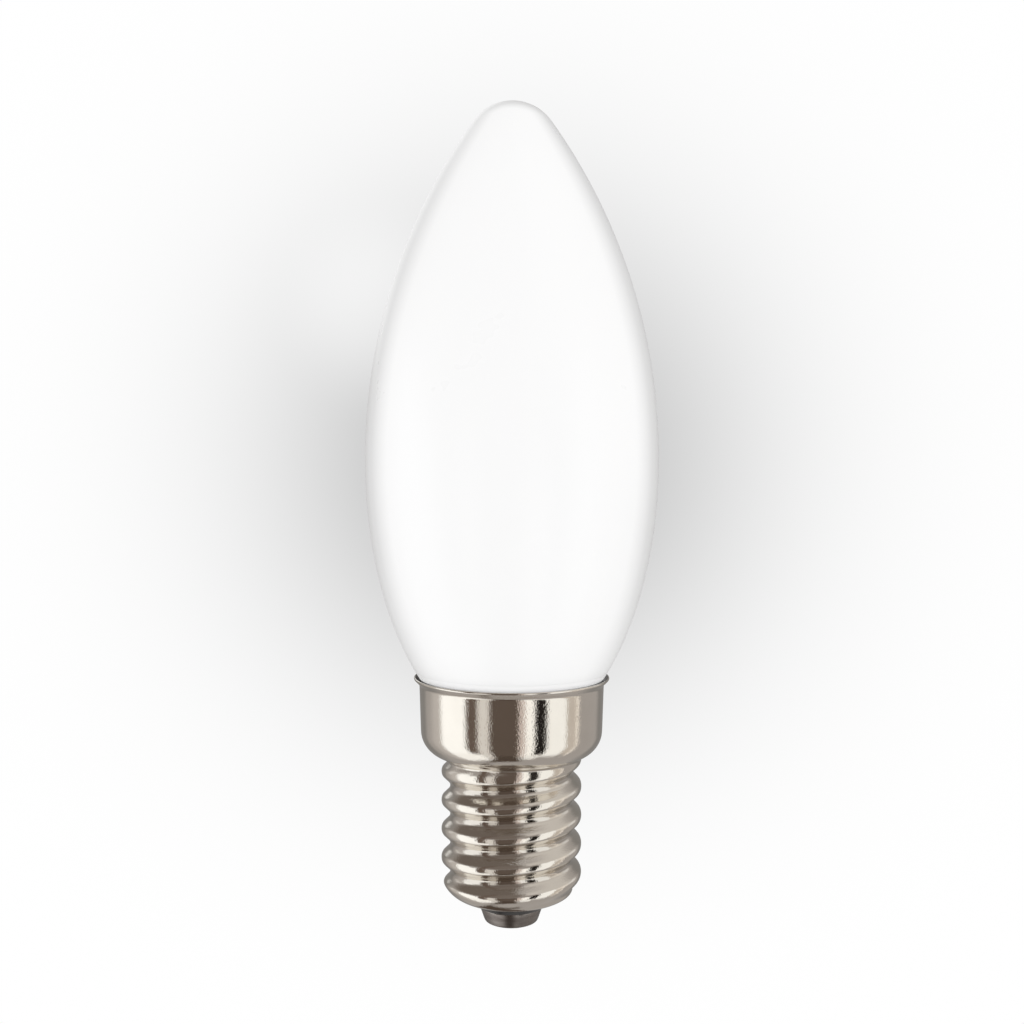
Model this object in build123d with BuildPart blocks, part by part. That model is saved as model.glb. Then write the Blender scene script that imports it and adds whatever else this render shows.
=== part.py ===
from build123d import *
from math import asin, atan, ceil, cos, degrees, radians, sin, sqrt, tan
import os

os.makedirs("parts", exist_ok=True)

# Candle bulb with a 14 mm Edison screw cap. Millimetres, +Z up the axis to the glass tip.
# The origin is the lowest point of the centre contact.

# Screw thread of the cap, right-handed
thread_diameter = 13.8
thread_depth = 0.9
thread_flank = 54.0  # steepest slope of the sides, midway between crest and root
thread_pitch = 2.822
first_crest = 0.05  # height of the highest crest above the shoulder, on the +X side
spare_turns = 3  # drawn past the two ends of the thread before they are trimmed

# Heights along the axis, each measured from the one before
contact_height = 2.1  # contact tip to the face of the insulator
nose_height = 0.85  # insulator face to the closed end of the cap
thread_length = 13.7  # closed end to the shoulder
skirt_length = 7.25  # shoulder to the lip
lip_height = 0.7  # lip to the rim

# Drawn metal cap
sheet = 0.25
skirt_diameter = 18.0  # below the lip
skirt_taper = 0.2  # narrower on each side at the shoulder
lip_width = 0.6  # lip outside the skirt on each side
lip_slope = 45.0
lip_inner_bend = 0.4
lip_outer_bend = 0.6
rim_trim = 0.6  # drawn above the rim and cut off
shoulder_slope = 27.0
shoulder_bend = 2.5
end_bend = 2.7
end_margin = 0.05  # the closed end's bend starts this far outside the crests

# Insulator and centre contact
insulator_height = 4.0  # above the inside of the closed end
contact_diameter = 6.3
contact_taper = 0.55  # narrower on each side at the dome
contact_dome = 0.6
nose_ledge = 0.15  # insulator face shown round the contact
nose_flare = 0.65  # wider on each side at the closed end
shank_diameter = 2.4
shank_clearance = 0.05

# Blown glass
glass_diameter = 28.4
glass_wall = 0.8
belly_height = 21.0  # rim of the cap to the widest ring
crown_height = 34.5  # widest ring to the tip
tip_radius = 4.7
rim_gap = 0.3  # glass to the inside of the rim
neck_length = 6.6  # rim of the cap to the sealed end of the neck
neck_bevel = 1.4

# Basing cement between the neck and the skirt
cement_gap = 0.25  # at the foot of the skirt, where it is narrowest
cement_drop = 0.2  # top of the cement below the throat of the glass

# Levels and radii that follow
end_z = contact_height + nose_height
seat_z = end_z + sheet
shoulder_z = end_z + thread_length
lip_z = shoulder_z + skirt_length
rim_z = lip_z + lip_height
belly_z = rim_z + belly_height
tip_z = belly_z + crown_height
neck_end_z = rim_z - neck_length
neck_foot_z = neck_end_z + neck_bevel
crest_radius = thread_diameter / 2
root_radius = crest_radius - thread_depth
mid_radius = crest_radius - thread_depth / 2
bore_radius = root_radius - sheet
skirt_top = skirt_diameter / 2
skirt_base = skirt_top - skirt_taper
lip_radius = skirt_top + lip_width
contact_radius = contact_diameter / 2
contact_tip = contact_radius - contact_taper
dome_radius = (contact_tip**2 + contact_dome**2) / (2 * contact_dome)
nose_radius = contact_radius + nose_ledge
end_hole_radius = nose_radius + nose_flare
glass_radius = glass_diameter / 2
rim_radius = lip_radius - sheet - rim_gap
neck_radius = skirt_base - sheet - cement_gap


def wave_profile():
    """Section of the screw form on the +X side: rounded crests and roots that meet on the mid radius."""
    turns = ceil(thread_length / thread_pitch) + spare_turns
    foot = bore_radius - sheet
    quarter = thread_pitch / 4
    high = shoulder_z + first_crest + 3 * quarter
    low = high - turns * thread_pitch
    flank = radians(thread_flank)
    outward = (sin(flank), cos(flank))
    inward = (-sin(flank), cos(flank))
    with BuildSketch(Plane.XZ) as section:
        with BuildLine():
            for turn in range(turns):
                start = (mid_radius, low + turn * thread_pitch)
                crest = (crest_radius, start[1] + quarter)
                middle = (mid_radius, start[1] + 2 * quarter)
                root = (root_radius, start[1] + 3 * quarter)
                end = (mid_radius, start[1] + thread_pitch)
                Spline(start, crest, middle, tangents=(outward, inward))
                Spline(middle, root, end, tangents=(inward, outward))
            Polyline((mid_radius, high), (foot, high), (foot, low), (mid_radius, low))
        make_face()
    return section.sketch


def end_profile(inset):
    """Half section of the closed end, which rounds the screw form off at the bottom."""
    reach = crest_radius + end_margin - inset
    bottom = end_z + inset
    with BuildSketch(Plane.XZ) as section:
        with BuildLine():
            FilletPolyline((0, bottom), (reach, bottom), (reach, lip_z), radius=end_bend - inset)
            Polyline((reach, lip_z), (0, lip_z), (0, bottom))
        make_face()
    return section.sketch


def skirt_profile(inset):
    """Half section of the shoulder, skirt and lip, drawn past the rim so that the rim can be cut open."""
    rise = tan(radians(shoulder_slope))
    apex = (0, shoulder_z - mid_radius * rise)
    base = (skirt_base, shoulder_z + (skirt_base - mid_radius) * rise)
    lip_start = (skirt_top, lip_z)
    lip_end = (lip_radius, lip_z + lip_width * tan(radians(lip_slope)))
    top = rim_z + rim_trim
    bends = (shoulder_bend, lip_inner_bend, lip_outer_bend)
    with BuildSketch(Plane.XZ) as section:
        with BuildLine():
            FilletPolyline(apex, base, lip_start, lip_end, (lip_radius, top), radius=bends)
            mirror(about=Plane.YZ)
            Line((-lip_radius, top), (lip_radius, top))
        make_face()
        if inset:
            offset(amount=-inset)
        split(bisect_by=Plane.YZ)
    return section.sketch


def throat_angle(waist, mouth):
    """Slope of the bowl at the rim of the cap, which the throat turns back upright."""
    return degrees(atan((waist**2 - mouth**2) / (mouth * belly_height)))


def glass_profile(inset):
    """Half section of the glass: tip and flank arcs, an ellipse as the bowl, a throat arc and the neck."""
    waist = glass_radius - inset
    mouth = rim_radius - inset
    stem = neck_radius - inset
    tip_bend = tip_radius - inset
    crown = crown_height - tip_radius
    flank_radius = (waist**2 + crown**2 - tip_bend**2) / (2 * (waist - tip_bend))
    flank_angle = degrees(asin(crown / (flank_radius - tip_bend)))
    bowl_height = belly_height / sqrt(1 - (mouth / waist) ** 2)
    bowl_sweep = degrees(asin(belly_height / bowl_height))
    throat_turn = throat_angle(waist, mouth)
    throat_radius = (mouth - stem) / (1 - cos(radians(throat_turn)))
    with BuildSketch(Plane.XZ) as section:
        with BuildLine():
            tip = JernArc((0, tip_z - inset), (1, 0), tip_bend, flank_angle - 90)
            JernArc(tip @ 1, tip % 1, flank_radius, -flank_angle)
            bowl = EllipticalCenterArc((0, belly_z), waist, bowl_height, arc_size=-bowl_sweep)
            throat = JernArc(bowl @ 1, bowl % 1, throat_radius, throat_turn)
            foot = (stem, neck_foot_z + inset)
            bevel = (stem - neck_bevel, neck_end_z + inset)
            Polyline(throat @ 1, foot, bevel, (0, neck_end_z + inset), (0, tip_z - inset))
        make_face()
    return section.sketch


def cap_outside():
    """Solid form of the whole cap. Two half turns of the screw meet face to face."""
    waves = wave_profile()
    closed_end = end_profile(0)
    skirt = skirt_profile(0)
    with BuildPart() as form:
        with BuildLine() as lead:
            Helix(pitch=thread_pitch, height=thread_pitch / 2, radius=mid_radius)
        sweep(waves, path=lead.line, is_frenet=True)
        with Locations(Location((0, 0, thread_pitch / 2), (0, 0, 180))):
            add(form.part)
        with BuildSketch(Plane.XY.offset(end_z)):
            Circle(bore_radius)
        extrude(amount=thread_length)
        revolve(closed_end, axis=Axis.Z, mode=Mode.INTERSECT)
        revolve(skirt, axis=Axis.Z)
    return form.part


def cap_inside():
    """Solid form of the space in the cap: a plain bore behind the thread, and the sheet's inside above it."""
    closed_end = end_profile(sheet)
    skirt = skirt_profile(sheet)
    with BuildPart() as form:
        with BuildSketch(Plane.XY.offset(end_z)):
            Circle(bore_radius)
        extrude(amount=thread_length)
        revolve(closed_end, axis=Axis.Z, mode=Mode.INTERSECT)
        revolve(skirt, axis=Axis.Z)
    return form.part


cap_form = cap_outside()
cap_space = cap_inside()
end_space = end_profile(sheet)
skirt_space = skirt_profile(sheet)
glass_outside = glass_profile(0)
glass_inside = glass_profile(glass_wall)

# Screw cap: one drawn sheet with the lip, skirt, shoulder, rolled thread and closed end
with BuildPart() as screw_cap:
    add(cap_form)
    add(cap_space, mode=Mode.SUBTRACT)
    with BuildSketch(Plane.XY.offset(end_z)):
        Circle(end_hole_radius)
    extrude(amount=sheet, mode=Mode.SUBTRACT)
    split(bisect_by=Plane.XY.offset(rim_z), keep=Keep.BOTTOM)

# Insulator: black glass cast into the closed end, with a nose that stands out through its hole
with BuildPart() as cap_insulator:
    with BuildSketch(Plane.XY.offset(seat_z)):
        Circle(bore_radius)
    extrude(amount=insulator_height)
    revolve(end_space, axis=Axis.Z, mode=Mode.INTERSECT)
    with BuildSketch(Plane.XZ):
        with BuildLine():
            Polyline(
                (0, contact_height),
                (nose_radius, contact_height),
                (end_hole_radius, end_z),
                (end_hole_radius, seat_z),
                (0, seat_z),
                close=True,
            )
        make_face()
    revolve(axis=Axis.Z)
    with Locations((0, 0, seat_z + insulator_height)):
        Hole(shank_diameter / 2 + shank_clearance)

# Centre contact: a domed button with tapered sides, held by its shank in the insulator
with BuildPart() as centre_contact:
    with BuildSketch(Plane.XZ):
        with BuildLine():
            dome = JernArc((0, 0), (1, 0), dome_radius, degrees(asin(contact_tip / dome_radius)))
            Polyline(dome @ 1, (contact_radius, contact_height), (0, contact_height), (0, 0))
        make_face()
    revolve(axis=Axis.Z)
    with BuildSketch(Plane.XY.offset(contact_height)):
        Circle(shank_diameter / 2)
    extrude(amount=nose_height + sheet + insulator_height)

# Glass: one blown and sealed envelope, hollow inside its wall
with BuildPart() as glass_bulb:
    revolve(glass_outside, axis=Axis.Z)
    revolve(glass_inside, axis=Axis.Z, mode=Mode.SUBTRACT)

# Basing cement: the ring between the straight neck of the glass and the inside of the skirt
throat_turn = radians(throat_angle(glass_radius, rim_radius))
throat_height = (rim_radius - neck_radius) / tan(throat_turn / 2)
cement_top_z = rim_z - throat_height - cement_drop
with BuildPart() as basing_cement:
    with BuildSketch(Plane.XY.offset(neck_foot_z)):
        Circle(lip_radius)
        Circle(neck_radius, mode=Mode.SUBTRACT)
    extrude(amount=cement_top_z - neck_foot_z)
    revolve(skirt_space, axis=Axis.Z, mode=Mode.INTERSECT)

pieces = {
    "screw_cap": screw_cap,
    "cap_insulator": cap_insulator,
    "centre_contact": centre_contact,
    "glass_bulb": glass_bulb,
    "basing_cement": basing_cement,
}
for name, piece in pieces.items():
    piece.part.label = name
    export_step(piece.part, f"parts/{name}.step")
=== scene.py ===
from math import acos, asin, atan, atan2, cos, degrees, hypot, pi, radians, sin, sqrt, tan

import bpy
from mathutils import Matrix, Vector


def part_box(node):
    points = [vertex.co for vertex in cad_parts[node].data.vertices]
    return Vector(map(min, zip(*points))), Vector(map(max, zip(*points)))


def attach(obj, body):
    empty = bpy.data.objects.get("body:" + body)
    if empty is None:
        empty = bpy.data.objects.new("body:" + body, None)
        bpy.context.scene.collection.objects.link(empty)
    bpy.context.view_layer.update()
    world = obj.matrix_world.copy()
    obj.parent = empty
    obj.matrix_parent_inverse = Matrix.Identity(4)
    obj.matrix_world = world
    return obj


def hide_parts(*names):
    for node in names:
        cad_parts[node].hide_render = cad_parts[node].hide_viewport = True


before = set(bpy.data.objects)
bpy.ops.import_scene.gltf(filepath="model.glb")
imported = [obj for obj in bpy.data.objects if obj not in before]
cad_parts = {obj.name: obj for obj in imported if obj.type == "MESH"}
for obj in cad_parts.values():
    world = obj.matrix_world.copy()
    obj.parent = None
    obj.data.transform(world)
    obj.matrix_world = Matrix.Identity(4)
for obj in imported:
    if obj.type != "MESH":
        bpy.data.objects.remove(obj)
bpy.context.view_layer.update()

mm = 0.001

# Sizes are in millimetres. Heights run up from the tip of the centre contact.

# Rolled thread
crest_radius = 6.9
thread_depth = 0.9
thread_flank = radians(46)  # slope of the straight sides
thread_pitch = 2.822
first_crest_z = 16.7  # highest crest, on the +X side
thread_blend = 0.3  # over this the thread runs into the closed end and the shoulder
plain_until = 80  # the wall above the highest crest is plain for these degrees from +X, round the front
rolled_from = 180  # and rolled to its full depth from here on
slack = 0.02  # on limits between one stretch of the cap and the next

# Drawn cap
sheet = 0.25
end_z = 2.95
end_reach = 6.95  # plain wall before the thread is rolled
end_bend = 2.7
end_hole = 3.95
hole_edge = 0.06
bore = 5.75
shoulder_z = 16.65
shoulder_slope = radians(27)
shoulder_bend = 2.5
shoulder_stop = 1.5  # straight part of the shoulder ends this far before its corner
skirt_base = 8.8
skirt_top = 9.0
skirt_start = (0.07, 2.0)  # straight part of the skirt, out and up from its foot
skirt_stop = (0.02, 0.5)  # in and down from its top
lip_z = 23.9
lip_radius = 9.52
lip_bend = 0.4
lip_knee_drop = 0.18  # knee of the lip below the rim
lip_knee_bend = 0.15
lip_inside_bend = 0.5
rim_z = 24.6
rim_edge = 0.1  # radius of the rounded edge
lip_mitre = 0.41  # inside corners stand off by these shares of the sheet
shoulder_mitre = 0.6

# Centre contact
contact_radius = 3.15
contact_tip = 2.6
contact_dome = 0.6
contact_height = 2.1
dome_share = 0.93  # of the dome's slope, before its brow is rounded
brow_bend = 0.25
side_start = (0.1, 0.24)  # straight part of the side, out and up from the brow
side_stop = (0.06, 0.14)  # in and down from its top
side_bend = 0.1
shank_radius = 1.2
shank_top_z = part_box("centre_contact")[1][2] / mm

# Blown glass
glass_low, glass_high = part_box("glass_bulb")
glass_radius = glass_high[1] / mm
tip_z = glass_high[2] / mm
neck_end_z = glass_low[2] / mm
belly_z = 45.6
tip_radius = 4.7
rim_radius = 9.05
neck_radius = 8.3
neck_bevel = 1.4

# Points of the cap's section that follow
mid_radius = crest_radius - thread_depth / 2
shoulder_rise = tan(shoulder_slope)
wall_top = (end_reach, shoulder_z + (end_reach - mid_radius) * shoulder_rise)
skirt_foot = (skirt_base, shoulder_z + (skirt_base - mid_radius) * shoulder_rise)

# Marks left on the cap for its finish and for the painted shade on its lip
in_shade = 2.0  # value of the mark where shade is painted, inside the lip and on the top of its rim
edge_facing = 0.35  # points of the lip that face outwards less than this, its inside and the top of its rim, get painted shade
groove_start_z = end_z + 0.6 * end_bend  # the closed end below it has no groove


# Outlines

def bow(middle, radius, start, end, steps, stretch=1.0):
    """Points on an arc about middle, from one angle to another. Stretch makes it taller."""
    points = []
    for step in range(steps + 1):
        turn = start + (end - start) * step / steps
        points.append((middle[0] + radius * cos(turn), middle[1] + radius * stretch * sin(turn)))
    return points


def bend(before, corner, after, radius, steps):
    """Points that round one corner of an outline."""
    arrive = (Vector(corner) - Vector(before)).normalized()
    leave = (Vector(after) - Vector(corner)).normalized()
    turn = acos(max(-1.0, min(1.0, arrive.dot(leave))))
    reach = radius * tan(turn / 2)
    side = 1 if arrive.x * leave.y - arrive.y * leave.x > 0 else -1
    start = Vector(corner) - arrive * reach
    middle = start + Vector((-arrive.y, arrive.x)) * radius * side
    first = atan2(start.y - middle.y, start.x - middle.x)
    return bow(middle, radius, first, first + turn * side, steps)


def run(start, end, steps):
    """Evenly spaced points on a straight line, both ends included."""
    a = Vector(start)
    b = Vector(end)
    return [tuple(a.lerp(b, step / steps)) for step in range(steps + 1)]


def without_doubles(points, least=0.002):
    """The same outline with points that fall together taken out."""
    kept = [points[0]]
    for point in points[1:]:
        if hypot(point[0] - kept[-1][0], point[1] - kept[-1][1]) > least:
            kept.append(point)
    return kept


def glass_outline():
    """Half section of the blown glass, from the tip down to the sealed end of its neck."""
    crown = tip_z - belly_z - tip_radius
    flank = (glass_radius**2 + crown**2 - tip_radius**2) / (2 * (glass_radius - tip_radius))
    flank_turn = asin(crown / (flank - tip_radius))
    bowl_stretch = (belly_z - rim_z) / sqrt(1 - (rim_radius / glass_radius) ** 2) / glass_radius
    bowl_turn = asin((belly_z - rim_z) / (bowl_stretch * glass_radius))
    throat_turn = atan((glass_radius**2 - rim_radius**2) / (rim_radius * (belly_z - rim_z)))
    throat = (rim_radius - neck_radius) / (1 - cos(throat_turn))
    throat_middle = (neck_radius + throat, rim_z - throat * sin(throat_turn))
    points = bow((0, tip_z - tip_radius), tip_radius, pi / 2, flank_turn, steps=14)
    points += bow((glass_radius - flank, belly_z), flank, flank_turn, 0, steps=40)
    points += bow((0, belly_z), glass_radius, 0, -bowl_turn, steps=34, stretch=bowl_stretch)
    points += bow(throat_middle, throat, pi - throat_turn, pi, steps=8)
    points.append((neck_radius, neck_end_z + neck_bevel))
    points.append((neck_radius - neck_bevel, neck_end_z))
    points.append((0, neck_end_z))
    return points


def cap_outline():
    """Section of the drawn sheet: closed end, plain wall, shoulder, skirt, lip, and back down inside."""
    hole = (end_hole, end_z)
    hole_top = (end_hole, end_z + sheet)
    end_middle = (end_reach - end_bend, end_z + end_bend)
    shoulder_way = (Vector(skirt_foot) - Vector(wall_top)).normalized()
    shoulder_end = Vector(skirt_foot) - shoulder_way * shoulder_stop
    straight_foot = (skirt_base + skirt_start[0], skirt_foot[1] + skirt_start[1])
    straight_top = (skirt_top - skirt_stop[0], lip_z - skirt_stop[1])
    lip_foot = (skirt_top, lip_z)
    lip_knee = (lip_radius, rim_z - lip_knee_drop)
    rim = (lip_radius, rim_z - rim_edge)
    points = [hole_top]
    points += bend(hole_top, hole, (end_reach, end_z), hole_edge, steps=4)
    points += bow(end_middle, end_bend, -pi / 2, 0, steps=30)
    points += run((end_reach, end_middle[1]), wall_top, steps=150)
    points += run(wall_top, shoulder_end, steps=4)
    points += bend(wall_top, skirt_foot, lip_foot, shoulder_bend, steps=18)
    points += run(straight_foot, straight_top, steps=6)
    points += bend(skirt_foot, lip_foot, lip_knee, lip_bend, steps=6)
    points += bend(lip_foot, lip_knee, rim, lip_knee_bend, steps=5)
    points += bow((lip_radius - rim_edge, rim_z - rim_edge), rim_edge, 0, pi, steps=8)

    inner_rim = (lip_radius - 2 * rim_edge, rim_z - rim_edge)
    inner_foot = (skirt_top - sheet, lip_z + sheet * lip_mitre)
    inner_base = (skirt_base - sheet, skirt_foot[1] + sheet * shoulder_mitre)
    inner_neck_z = shoulder_z + (bore - mid_radius) * shoulder_rise + sheet / cos(shoulder_slope)
    inner_neck = (bore, inner_neck_z)
    inner_bend = end_bend - sheet
    drop = acos((bore - end_middle[0]) / inner_bend)
    points += bend(inner_rim, inner_foot, inner_base, lip_inside_bend, steps=5)
    points += bend(inner_foot, inner_base, inner_neck, shoulder_bend - sheet, steps=8)
    points += [inner_neck, (bore, end_middle[1] - inner_bend * sin(drop))]
    points += bow(end_middle, inner_bend, -drop, -pi / 2, steps=6)
    points.append(hole_top)
    return points


def contact_outline():
    """Half section of the domed button with tapered sides, and its shank."""
    dome = (contact_tip**2 + contact_dome**2) / (2 * contact_dome)
    slope = asin(contact_tip / dome)
    brow = (contact_tip, contact_dome)
    side = (contact_radius, contact_height)
    straight_foot = (contact_tip + side_start[0], contact_dome + side_start[1])
    straight_top = (contact_radius - side_stop[0], contact_height - side_stop[1])
    points = bow((0, dome), dome, -pi / 2, slope * dome_share - pi / 2, steps=12)
    points += bend(points[-1], brow, side, brow_bend, steps=6)
    points += run(straight_foot, straight_top, steps=6)
    points += bend(brow, side, (0, contact_height), side_bend, steps=4)
    points += [(shank_radius, contact_height), (shank_radius, shank_top_z), (0, shank_top_z)]
    return points


# Pieces

def draw_and_spin(name, points, steps):
    """Extrudes one point along a half section and spins it round the axis into a closed piece."""
    points = without_doubles(points)
    bpy.ops.object.select_all(action="DESELECT")
    bpy.ops.mesh.primitive_plane_add(size=mm, location=(0, 0, 0))
    piece = bpy.context.object
    piece.name = name
    piece.data.name = name
    bpy.ops.object.mode_set(mode="EDIT")
    bpy.ops.mesh.select_all(action="SELECT")
    bpy.ops.mesh.merge(type="CENTER")
    bpy.ops.transform.translate(value=(points[0][0] * mm, 0, points[0][1] * mm))
    for here, there in zip(points, points[1:]):
        stretch = ((there[0] - here[0]) * mm, 0, (there[1] - here[1]) * mm)
        bpy.ops.mesh.extrude_vertices_move(TRANSFORM_OT_translate={"value": stretch})
    bpy.ops.mesh.select_all(action="SELECT")
    bpy.ops.mesh.spin(steps=steps, angle=2 * pi, center=(0, 0, 0), axis=(0, 0, 1))
    bpy.ops.mesh.select_all(action="SELECT")
    bpy.ops.mesh.remove_doubles(threshold=0.001 * mm)
    bpy.ops.mesh.normals_make_consistent(inside=False)
    bpy.ops.object.mode_set(mode="OBJECT")
    return piece


def rolled_wave(angle, z):
    """Radius of the round thread at one angle and height: crest and root arcs joined by straight sides."""
    half = thread_pitch / 2
    arc = (half * tan(thread_flank) - thread_depth) / (1 / cos(thread_flank) - 1) / 2
    along = (z - first_crest_z - thread_pitch * angle / (2 * pi)) / thread_pitch
    along = abs(along - round(along)) * thread_pitch
    from_end = min(along, half - along)
    if from_end < arc * sin(thread_flank):
        drop = arc - sqrt(arc**2 - from_end**2)
    else:
        drop = thread_depth / 2 - (half / 2 - from_end) * tan(thread_flank)
    return crest_radius - drop if along < half / 2 else crest_radius - thread_depth + drop


def lesser(a, b, blend):
    """The smaller of two radii, run smoothly into each other."""
    share = max(0.0, blend - abs(a - b)) / blend
    return min(a, b) - share**2 * blend / 4


def greater(a, b, blend):
    """The larger of two radii, run smoothly into each other."""
    return -lesser(-a, -b, blend)


def roll_thread(cap):
    """Rolls the thread into the cap's plain wall, marks how deep each point lies in its grooves, and marks
    the inside and the rim of the lip for painted shade.
    """
    groove_and_shade = cap.data.attributes.new("groove_and_shade", "FLOAT", "POINT")
    for vertex in cap.data.vertices:
        radius = hypot(vertex.co.x, vertex.co.y) / mm
        z = vertex.co.z / mm
        # Painted shade: the inside of the lip and the top of its rim are marked to be coloured near black.
        if z > lip_z:
            outward = vertex.normal.x * vertex.co.x + vertex.normal.y * vertex.co.y
            if outward < edge_facing * radius * mm:
                groove_and_shade.data[vertex.index].value = in_shade
        if radius < bore + slack or z > wall_top[1] + slack:
            continue
        angle = atan2(vertex.co.y, vertex.co.x)
        wave = rolled_wave(angle, z)
        if angle < 0 and z > first_crest_z + thread_pitch * angle / (2 * pi):
            start = (-degrees(angle) - plain_until) / (rolled_from - plain_until)
            wave += (crest_radius - wave) * (1 - max(0.0, min(1.0, start)))
        shoulder = mid_radius + (z - shoulder_z) / shoulder_rise
        rolled = greater(lesser(radius, wave, thread_blend), shoulder, thread_blend)
        vertex.co.x *= rolled / radius
        vertex.co.y *= rolled / radius
        if z > groove_start_z:
            groove_and_shade.data[vertex.index].value = max(0.0, (crest_radius - rolled) / thread_depth)


glass = draw_and_spin("candle_glass", glass_outline(), 144)
cap = draw_and_spin("threaded_cap", cap_outline(), 240)
roll_thread(cap)
contact = draw_and_spin("contact_button", contact_outline(), 96)

for piece, node, slot in (
    (glass, "glass_bulb", "opal_glass"),
    (cap, "screw_cap", "nickel_plate"),
    (contact, "centre_contact", "contact_metal"),
):
    bpy.ops.object.select_all(action="DESELECT")
    piece.select_set(True)
    bpy.context.view_layer.objects.active = piece
    bpy.ops.object.shade_smooth_by_angle(angle=radians(40))
    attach(piece, "root")
    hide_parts(node)


# Nodes

def place(tree, kind, **values):
    """Adds a node. Values named as inputs set those inputs, and the rest set its properties."""
    made = tree.nodes.new(kind)
    for name, value in values.items():
        if hasattr(made, name):
            setattr(made, name, value)
        else:
            made.inputs[name.replace("_", " ")].default_value = value
    return made


def work_out(tree, operation, *values):
    """A Math node. Each value is a socket or a plain number."""
    made = place(tree, "ShaderNodeMath", operation=operation)
    for socket, value in zip(made.inputs, values):
        if hasattr(value, "is_output"):
            tree.links.new(value, socket)
        else:
            socket.default_value = value
    return made.outputs[0]


def distance(tree, vector, point):
    """How far a vector lies from one point."""
    made = place(tree, "ShaderNodeVectorMath", operation="DISTANCE")
    tree.links.new(vector, made.inputs[0])
    made.inputs[1].default_value = point
    return made.outputs["Value"]


def spread(tree, source, low, high, from_low=0.3, from_high=0.7):
    """Maps a value onto a range. Noise about one half is the usual source."""
    mapped = place(
        tree, "ShaderNodeMapRange", From_Min=from_low, From_Max=from_high, To_Min=low, To_Max=high
    )
    tree.links.new(source, mapped.inputs["Value"])
    return mapped.outputs["Result"]


def tint(tree, mask, first, second):
    """Mixes two colours, each given as a socket or as plain numbers, by a mask."""
    mixed = place(tree, "ShaderNodeMix", data_type="RGBA")
    tree.links.new(mask, mixed.inputs["Factor"])
    for label, value in (("A", first), ("B", second)):
        socket = [s for s in mixed.inputs if s.name == label and s.type == "RGBA"][0]
        if hasattr(value, "is_output"):
            tree.links.new(value, socket)
        else:
            socket.default_value = (*value, 1.0)
    return [s for s in mixed.outputs if s.type == "RGBA"][0]


def raise_bump(tree, shader, height, strength, depth):
    """A bump from a height value."""
    bump = place(tree, "ShaderNodeBump", Strength=strength, Distance=depth)
    tree.links.new(height, bump.inputs["Height"])
    tree.links.new(bump.outputs["Normal"], shader.inputs["Normal"])


def new_group(name, inputs, outputs):
    """An empty shader node group with named sockets."""
    group = bpy.data.node_groups.new(name, "ShaderNodeTree")
    for label, kind, value in inputs:
        socket = group.interface.new_socket(label, in_out="INPUT", socket_type=kind)
        if value is not None:
            socket.default_value = value
    for label, kind in outputs:
        group.interface.new_socket(label, in_out="OUTPUT", socket_type=kind)
    return group, group.nodes.new("NodeGroupInput"), group.nodes.new("NodeGroupOutput")


# Finishes

def surface_grain():
    """Fine grain and broad mottling of a surface, both as values about one half."""
    group, given, result = new_group(
        "surface grain",
        [
            ("Vector", "NodeSocketVector", None),
            ("Grain Scale", "NodeSocketFloat", 4000.0),
            ("Grain Detail", "NodeSocketFloat", 3.0),
            ("Mottle Scale", "NodeSocketFloat", 300.0),
        ],
        [("Grain", "NodeSocketFloat"), ("Mottle", "NodeSocketFloat")],
    )
    fine = place(group, "ShaderNodeTexNoise", Roughness=0.6)
    broad = place(group, "ShaderNodeTexNoise", Detail=4.0, Roughness=0.55)
    group.links.new(given.outputs["Grain Detail"], fine.inputs["Detail"])
    for noise, scale, output in ((fine, "Grain Scale", "Grain"), (broad, "Mottle Scale", "Mottle")):
        group.links.new(given.outputs["Vector"], noise.inputs["Vector"])
        group.links.new(given.outputs[scale], noise.inputs["Scale"])
        group.links.new(noise.outputs["Fac"], result.inputs[output])
    return group


grain_group = surface_grain()


def new_finish(name, grain_scale, mottle_scale, stretch=None, **values):
    """A material with the surface grain in it. Gives back the material, its shader and the grain."""
    finish = bpy.data.materials.new(name)
    finish.use_nodes = True
    tree = finish.node_tree
    shader = tree.nodes["Principled BSDF"]
    for label, value in values.items():
        shader.inputs[label.replace("_", " ")].default_value = value
    grain = place(tree, "ShaderNodeGroup", node_tree=grain_group)
    grain.inputs["Grain Scale"].default_value = grain_scale
    grain.inputs["Mottle Scale"].default_value = mottle_scale
    vector = tree.nodes.new("ShaderNodeTexCoord").outputs["Object"]
    if stretch:
        drawn = place(tree, "ShaderNodeMapping", Scale=stretch)
        tree.links.new(vector, drawn.inputs["Vector"])
        vector = drawn.outputs["Vector"]
    tree.links.new(vector, grain.inputs["Vector"])
    return finish, shader, grain


def mottle(tree, grain, shader, first, second):
    """Gives the shader two colours that pass into each other with the mottling."""
    mask = spread(tree, grain.outputs["Mottle"], 0.0, 1.0)
    tree.links.new(tint(tree, mask, first, second), shader.inputs["Base Color"])


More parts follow.
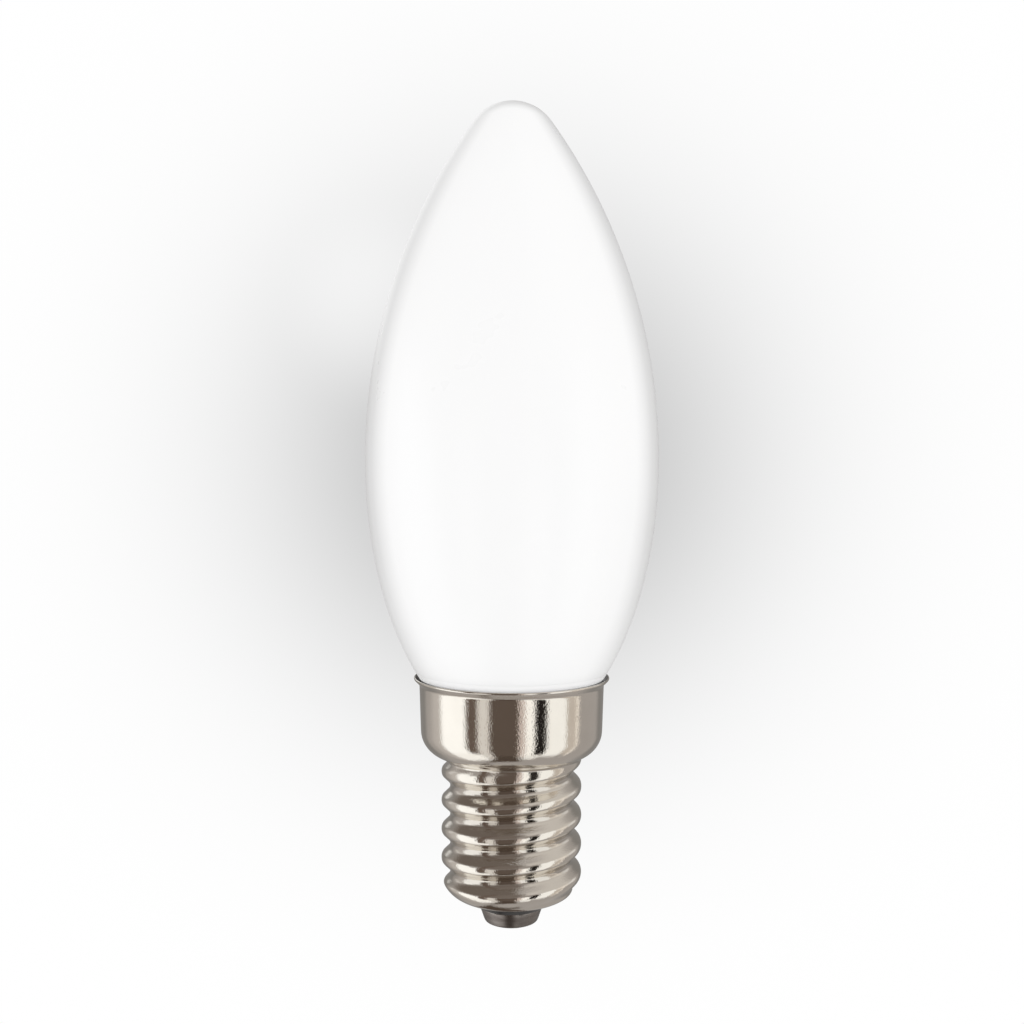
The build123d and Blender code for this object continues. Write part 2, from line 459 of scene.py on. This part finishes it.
def opal_glass():
    """White glass with painted grey shade where its wall turns away, less of it low on the bowl, and a
    painted glow at the rim of the cap.
    """
    light_milk = (0.952, 0.952, 0.952)
    dark_milk = (0.945, 0.945, 0.945)
    painted_edge_shade = (0.79, 0.79, 0.79)
    mottle_range = (0.1, 0.9)
    grey_top_z = rim_z + 13
    painted_glow_foot_z = rim_z - 0.1
    painted_glow_top_z = rim_z + 0.6
    finish, shader, grain = new_finish("opal glass", 1500.0, 90.0, IOR=1.4, Emission_Strength=1.0)
    tree = finish.node_tree
    split = tree.nodes.new("ShaderNodeSeparateXYZ")
    tree.links.new(tree.nodes.new("ShaderNodeTexCoord").outputs["Object"], split.inputs[0])
    height = split.outputs["Z"]

    mask = spread(tree, grain.outputs["Mottle"], 0.0, 1.0, *mottle_range)
    # Painted shade: the wall is tinted grey where it turns away from the viewer, less so low on the bowl near
    # the rim of the cap.
    facing = place(tree, "ShaderNodeLayerWeight", Blend=0.5).outputs["Facing"]
    turned = spread(tree, facing, 0.0, 1.0, 0.48, 0.7)
    above_rim = spread(tree, height, 0.35, 1.0, rim_z * mm, grey_top_z * mm)
    wall = work_out(tree, "MULTIPLY", turned, above_rim)
    colour = tint(tree, wall, tint(tree, mask, dark_milk, light_milk), painted_edge_shade)
    tree.links.new(colour, shader.inputs["Base Color"])
    roughness = spread(tree, grain.outputs["Mottle"], 0.24, 0.34, *mottle_range)
    tree.links.new(roughness, shader.inputs["Roughness"])
    raise_bump(tree, shader, grain.outputs["Mottle"], 0.03, 0.2 * mm)

    # Painted glow: a faint emission in a narrow band at the rim of the cap lifts the shadow that the lip
    # casts on the glass.
    rising = spread(tree, height, 0.0, 0.45, painted_glow_foot_z * mm, rim_z * mm)
    fading = spread(tree, height, 1.0, 0.0, rim_z * mm, painted_glow_top_z * mm)
    tree.links.new(work_out(tree, "MULTIPLY", rising, fading), shader.inputs["Emission Color"])
    return finish


def nickel_plate():
    """Bright plating with a fine grain, a little darker at the bottoms of the grooves, and painted near-black
    shade in the gap round the glass and on the top of the lip's rim.
    """
    light_plate = (0.71, 0.67, 0.61)
    dark_plate = (0.67, 0.63, 0.57)
    darker_groove_bottom = (0.2, 0.17, 0.15)
    gap_shade = (0.035, 0.028, 0.022)
    finish, shader, grain = new_finish("nickel plate", 6800.0, 260.0, Metallic=1.0)
    grain.inputs["Grain Detail"].default_value = 1.0
    tree = finish.node_tree
    groove_and_shade = place(tree, "ShaderNodeAttribute", attribute_name="groove_and_shade").outputs["Fac"]
    mask = spread(tree, grain.outputs["Mottle"], 0.0, 1.0)
    plate = tint(tree, mask, dark_plate, light_plate)
    # The bottoms of the grooves are made a little darker.
    darker_in_grooves = tint(tree, spread(tree, groove_and_shade, 0.0, 0.22, 0.85, 1.0), plate, darker_groove_bottom)
    # Painted shade: near black on the inside of the lip and the top of its rim.
    shaded = tint(tree, spread(tree, groove_and_shade, 0.0, 1.0, 1.2, 1.8), darker_in_grooves, gap_shade)
    tree.links.new(shaded, shader.inputs["Base Color"])
    tree.links.new(spread(tree, grain.outputs["Mottle"], 0.05, 0.075), shader.inputs["Roughness"])
    raise_bump(tree, shader, grain.outputs["Grain"], 0.7, 0.013 * mm)
    return finish


def contact_metal():
    """Tarnished metal, rubbed bright in patches."""
    tarnish = (0.14, 0.12, 0.11)
    rubbed = (0.36, 0.335, 0.31)
    along_axis = (0.2, 0.2, 1.0)
    finish, shader, grain = new_finish("tarnished contact metal", 2500.0, 900.0, along_axis, Metallic=1.0)
    tree = finish.node_tree
    mottle(tree, grain, shader, tarnish, rubbed)
    tree.links.new(spread(tree, grain.outputs["Mottle"], 0.34, 0.18), shader.inputs["Roughness"])
    raise_bump(tree, shader, grain.outputs["Grain"], 0.25, 0.05 * mm)
    return finish


def black_glass():
    """Cast black glass with a slightly uneven gloss."""
    finish, shader, grain = new_finish("black glass", 2600.0, 700.0, IOR=1.52)
    tree = finish.node_tree
    mottle(tree, grain, shader, (0.008, 0.008, 0.009), (0.03, 0.029, 0.028))
    tree.links.new(spread(tree, grain.outputs["Mottle"], 0.1, 0.25), shader.inputs["Roughness"])
    raise_bump(tree, shader, grain.outputs["Grain"], 0.1, 0.04 * mm)
    return finish


def basing_cement():
    """Dull, sandy cement."""
    finish, shader, grain = new_finish("basing cement", 3000.0, 500.0)
    tree = finish.node_tree
    mottle(tree, grain, shader, (0.62, 0.56, 0.46), (0.76, 0.7, 0.6))
    tree.links.new(spread(tree, grain.outputs["Grain"], 0.75, 0.95), shader.inputs["Roughness"])
    raise_bump(tree, shader, grain.outputs["Grain"], 0.5, 0.1 * mm)
    return finish


def dress(thing, finish):
    """Gives a piece or a node one finish all over."""
    thing.data.materials.clear()
    thing.data.materials.append(finish)


dress(glass, opal_glass())
dress(cap, nickel_plate())
dress(contact, contact_metal())
dress(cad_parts["cap_insulator"], black_glass())
dress(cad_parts["basing_cement"], basing_cement())


# Studio

def studio_card():
    """Mask of one soft-edged card of the studio, by its bearing and height in degrees."""
    group, given, result = new_group(
        "studio card",
        [
            ("Bearing", "NodeSocketFloat", 0.0),
            ("Height", "NodeSocketFloat", 0.0),
            ("Left", "NodeSocketFloat", -10.0),
            ("Right", "NodeSocketFloat", 10.0),
            ("Bottom", "NodeSocketFloat", -40.0),
            ("Top", "NodeSocketFloat", 20.0),
            ("Side Softness", "NodeSocketFloat", 2.0),
            ("End Softness", "NodeSocketFloat", 6.0),
        ],
        [("Mask", "NodeSocketFloat")],
    )
    take = given.outputs
    mask = None
    for larger, smaller, softness in (
        ("Bearing", "Left", "Side Softness"),
        ("Right", "Bearing", "Side Softness"),
        ("Height", "Bottom", "End Softness"),
        ("Top", "Height", "End Softness"),
    ):
        inside = work_out(group, "SUBTRACT", take[larger], take[smaller])
        share = work_out(group, "DIVIDE", inside, take[softness])
        edge = place(group, "ShaderNodeMapRange", interpolation_type="SMOOTHSTEP")
        edge.inputs["From Min"].default_value = -0.5
        edge.inputs["From Max"].default_value = 0.5
        group.links.new(share, edge.inputs["Value"])
        within = edge.outputs["Result"]
        mask = within if mask is None else work_out(group, "MULTIPLY", mask, within)
    group.links.new(mask, result.inputs["Mask"])
    return group


card_group = studio_card()


def hang_card(tree, name, colour, behind, bearing, height, sides, ends, softness):
    """One card of the studio in front of what hangs there already. Its place is in degrees."""
    card = place(tree, "ShaderNodeGroup", node_tree=card_group, label=name)
    tree.links.new(bearing, card.inputs["Bearing"])
    tree.links.new(height, card.inputs["Height"])
    labels = ("Left", "Right", "Bottom", "Top", "Side Softness", "End Softness")
    for label, value in zip(labels, (*sides, *ends, *softness)):
        card.inputs[label].default_value = value
    return tint(tree, card.outputs["Mask"], behind, colour)


def hang_cards(tree, bearing, height, aside):
    """What polished metal shows: softboxes and cards round the camera, one in front of the other."""
    room = (0.47, 0.445, 0.43)
    for name, colour, sides, ends, softness in (
        ("dark ceiling on the left", (0.19, 0.16, 0.14), (-150, 4), (26, 100), (26, 18)),
        ("light ceiling on the right", (0.74, 0.71, 0.68), (22, 118), (14, 66), (24, 24)),
        ("grey wall behind, right half", (0.28, 0.27, 0.26), (136, 400), (-40, 85), (14, 20)),
        ("grey wall behind, left half", (0.28, 0.27, 0.26), (-400, -136), (-40, 85), (14, 20)),
        ("white card behind on the left", (1.15, 1.15, 1.15), (-174, -146), (9, 42), (12, 8)),
        ("pale card far right", (0.9, 0.89, 0.88), (102, 124), (-4, 18), (8, 8)),
        ("pale card far left", (0.9, 0.89, 0.88), (-124, -102), (-4, 18), (8, 8)),
        ("grey frame of the left softbox", (0.66, 0.63, 0.61), (-118, -90), (-60, 16), (20, 16)),
        ("left softbox, outer half", (1.42, 1.44, 1.45), (-99, -74), (-58, 17), (8, 12)),
        ("left softbox, inner half", (1.42, 1.44, 1.45), (-78, -59), (-58, 6), (6, 12)),
        ("left softbox, foot", (1.3, 1.3, 1.29), (-99, -43), (-64, -40), (6, 12)),
        ("dark card on the left", (0.17, 0.13, 0.11), (-58, -43), (-34, 60), (3, 14)),
        ("pale card on the left", (0.9, 0.87, 0.84), (-43, -28), (-56, 3), (4, 18)),
        ("dark room above the camera", (0.22, 0.185, 0.165), (-42, 17), (6, 60), (22, 14)),
        ("grey card above, on the right", (0.4, 0.37, 0.35), (8, 46), (-4, 24), (8, 14)),
        ("dark card below the camera", (0.14, 0.108, 0.09), (-27, 9), (-66, 4), (2, 20)),
        ("warm card beside it", (0.78, 0.68, 0.64), (9, 17), (-50, -2), (2, 12)),
        ("narrow softbox", (1.35, 1.35, 1.33), (17, 29), (-48, -5), (3, 12)),
        ("narrow softbox, foot", (1.15, 1.15, 1.13), (20, 42), (-60, -42), (5, 10)),
        ("black card", (0.02, 0.017, 0.015), (29.5, 43.5), (-38, 6), (3, 10)),
        ("right softbox", (1.26, 1.27, 1.26), (45, 73), (-48, 20), (3, 18)),
        ("cream card on the right, upper half", (0.95, 0.9, 0.84), (74, 102), (-5, 20), (6, 10)),
        ("cream card on the right, lower half", (0.7, 0.64, 0.58), (73, 92), (-42, -4), (3, 10)),
        ("thin light strip", (1.15, 1.08, 1.0), (88, 92), (-48, 10), (2, 10)),
    ):
        room = hang_card(tree, name, colour, room, bearing, height, sides, ends, softness)
    strip = ("dark strip on the table", (0.1, 0.075, 0.06))
    return hang_card(tree, *strip, room, aside, height, (-30, 12), (-74, -46), (5, 8))


def compass(tree, direction):
    """Bearing and height of a direction in degrees, and how far aside it falls, in per cent of its drop."""
    split = tree.nodes.new("ShaderNodeSeparateXYZ")
    tree.links.new(direction, split.inputs[0])
    x, y, z = split.outputs
    towards = work_out(tree, "MULTIPLY", y, -1.0)
    bearing = work_out(tree, "DEGREES", work_out(tree, "ARCTAN2", x, towards))
    height = work_out(tree, "DEGREES", work_out(tree, "ARCSINE", z))
    slant = work_out(tree, "DIVIDE", x, work_out(tree, "ABSOLUTE", z))
    return bearing, height, work_out(tree, "MULTIPLY", slant, 100.0)


def paper_backdrop(tree, direction):
    """Pale paper with a soft grey shade behind the lamp, and a lighter patch in it on the left."""
    shade_middle = (0.0, 1.0, 0.012)
    shade_narrowness = 25.3
    shade_depth = 0.52
    patch_middle = (-0.102, 0.985, 0.132)
    patch_reach = 0.11
    patch_light = 0.12
    apart = distance(tree, direction, shade_middle)
    squared = work_out(tree, "MULTIPLY", apart, apart)
    halo = work_out(tree, "EXPONENT", work_out(tree, "MULTIPLY", squared, -shade_narrowness))
    paper = spread(tree, apart, 1.0, 0.84, 0.6, 0.95)
    shaded = work_out(tree, "MULTIPLY_ADD", halo, -shade_depth, paper)
    patch = place(
        tree,
        "ShaderNodeMapRange",
        interpolation_type="SMOOTHERSTEP",
        From_Min=patch_reach,
        From_Max=0.0,
        To_Max=patch_light,
    )
    tree.links.new(distance(tree, direction, patch_middle), patch.inputs["Value"])
    return work_out(tree, "ADD", shaded, patch.outputs["Result"])


def light_studio():
    """Soft white light all round. Gloss shows the cards instead, and the camera sees the paper backdrop."""
    world = bpy.data.worlds.new("pale studio")
    bpy.context.scene.world = world
    world.use_nodes = True
    tree = world.node_tree
    direction = tree.nodes.new("ShaderNodeTexCoord").outputs["Generated"]
    bearing, height, aside = compass(tree, direction)
    room = hang_cards(tree, bearing, height, aside)
    backdrop = paper_backdrop(tree, direction)
    soft_light = spread(tree, height, 1.0, 1.06, -60.0, 60.0)
    rays = tree.nodes.new("ShaderNodeLightPath").outputs
    shown = tint(tree, rays["Is Glossy Ray"], backdrop, room)
    seen = work_out(tree, "MAXIMUM", rays["Is Camera Ray"], rays["Is Glossy Ray"])
    seen = work_out(tree, "MAXIMUM", seen, rays["Is Transmission Ray"])
    tree.links.new(tint(tree, seen, soft_light, shown), tree.nodes["Background"].inputs["Color"])


def lay_floor():
    """A plain pale floor below the lamp that fades out at its edge."""
    radius = 0.1
    level = -0.05
    fade_start = 0.02
    fade_end = 0.086
    bpy.ops.object.select_all(action="DESELECT")
    bpy.ops.mesh.primitive_circle_add(vertices=96, radius=radius, fill_type="NGON", location=(0, 0, level))
    floor = bpy.context.object
    floor.name = "floor"
    bpy.ops.object.transform_apply(location=True, rotation=True, scale=True)
    finish, shader, grain = new_finish("pale floor", 900.0, 25.0, Roughness=0.9)
    tree = finish.node_tree
    mottle(tree, grain, shader, (0.95, 0.95, 0.95), (0.97, 0.97, 0.97))
    place_on_floor = tree.nodes.new("ShaderNodeTexCoord").outputs["Object"]
    from_middle = distance(tree, place_on_floor, (0, 0, level))
    tree.links.new(spread(tree, from_middle, 1.0, 0.0, fade_start, fade_end), shader.inputs["Alpha"])
    dress(floor, finish)
    floor.visible_glossy = False


def set_camera():
    """The camera stands a little above the cap and looks slightly down at the lamp."""
    away = 0.11734
    height = 0.04429
    down = radians(1.793)
    roll = radians(-0.1)
    view = bpy.data.cameras.new("camera")
    view.sensor_width = 36.0
    view.lens = 42.36
    view.clip_start = 0.005
    camera = bpy.data.objects.new("camera", view)
    camera.location = (0, -away, height)
    camera.rotation_euler = (pi / 2 - down, roll, 0)
    bpy.context.collection.objects.link(camera)
    bpy.context.scene.camera = camera


light_studio()
lay_floor()
set_camera()
bpy.context.scene.view_settings.view_transform = "Standard"
